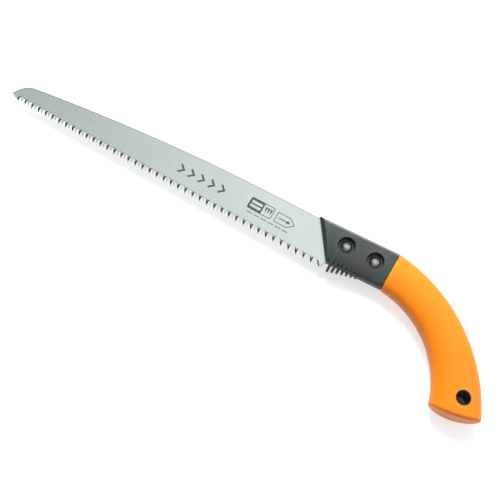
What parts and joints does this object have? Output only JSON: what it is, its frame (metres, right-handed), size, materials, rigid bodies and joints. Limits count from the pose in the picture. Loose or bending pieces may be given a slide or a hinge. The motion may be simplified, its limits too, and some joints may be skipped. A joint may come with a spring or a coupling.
{
  "type": "pruning saw",
  "caption": "Fixed-blade pull-stroke pruning saw with a long tapered toothed blade bolted into a dark bolster and a curved orange pistol grip with a hanging hole.",
  "frame": {"origin": "bottom centre of the bounding box, with the saw lying flat on the right side of its grip", "axes": "+X along the tooth points from the blade's tip towards the grip, +Y towards the back of the blade, +Z square to the blade on the side with the bolt heads"},
  "size_m": [0.5174, 0.1076, 0.027],
  "materials": {
    "blade_steel": "satin hard-chromed spring steel",
    "core_nylon": "semi-matt glass-filled nylon, dark grey-green black",
    "grip_orange": "smooth semi-gloss moulded plastic, orange",
    "bush_black": "smooth black nylon",
    "bolt_steel": "bright turned steel",
    "washer_black": "black oxide",
    "nut_steel": "zinc-plated steel",
    "dowel_nylon": "natural black nylon",
    "screw_steel": "zinc-plated steel"
  },
  "bodies": {
    "handle_and_blade": {"blade": "blade_steel", "core_left": "core_nylon", "core_right": "core_nylon", "grip_left": "grip_orange", "grip_right": "grip_orange", "hang_bush": "bush_black", "front_sleeve_nut": "nut_steel", "rear_sleeve_nut": "nut_steel", "front_nut_washer": "nut_steel", "rear_nut_washer": "nut_steel", "grip_dowel_1": "dowel_nylon", "grip_dowel_2": "dowel_nylon", "grip_dowel_3": "dowel_nylon", "grip_screw_1": "screw_steel", "grip_screw_2": "screw_steel", "grip_screw_3": "screw_steel"},
    "front_washer_body": {"front_bolt_washer": "washer_black"},
    "front_bolt_body": {"front_bolt": "bolt_steel"},
    "rear_washer_body": {"rear_bolt_washer": "washer_black"},
    "rear_bolt_body": {"rear_bolt": "bolt_steel"}
  },
  "joints": [
    {"name": "front_washer_lift", "type": "slide", "parent": "handle_and_blade", "child": "front_washer_body", "axis": [0, 0, 1], "range_m": [0, 0.008]},
    {"name": "front_bolt_spin", "type": "hinge", "parent": "front_washer_body", "child": "front_bolt_body", "pos_m": [0.08864, 0.03402, 0.02011], "axis": [0, 0, 1], "range_deg": [0, 2880]},
    {"name": "rear_washer_lift", "type": "slide", "parent": "handle_and_blade", "child": "rear_washer_body", "axis": [0, 0, 1], "range_m": [0, 0.008]},
    {"name": "rear_bolt_spin", "type": "hinge", "parent": "rear_washer_body", "child": "rear_bolt_body", "pos_m": [0.11714, 0.03402, 0.02011], "axis": [0, 0, 1], "range_deg": [0, 2880]}
  ],
  "couplings": [
    {"joint": "front_bolt_spin", "follows": "front_washer_lift", "rad_per_m": 6283.2},
    {"joint": "rear_bolt_spin", "follows": "rear_washer_lift", "rad_per_m": 6283.2}
  ]
}
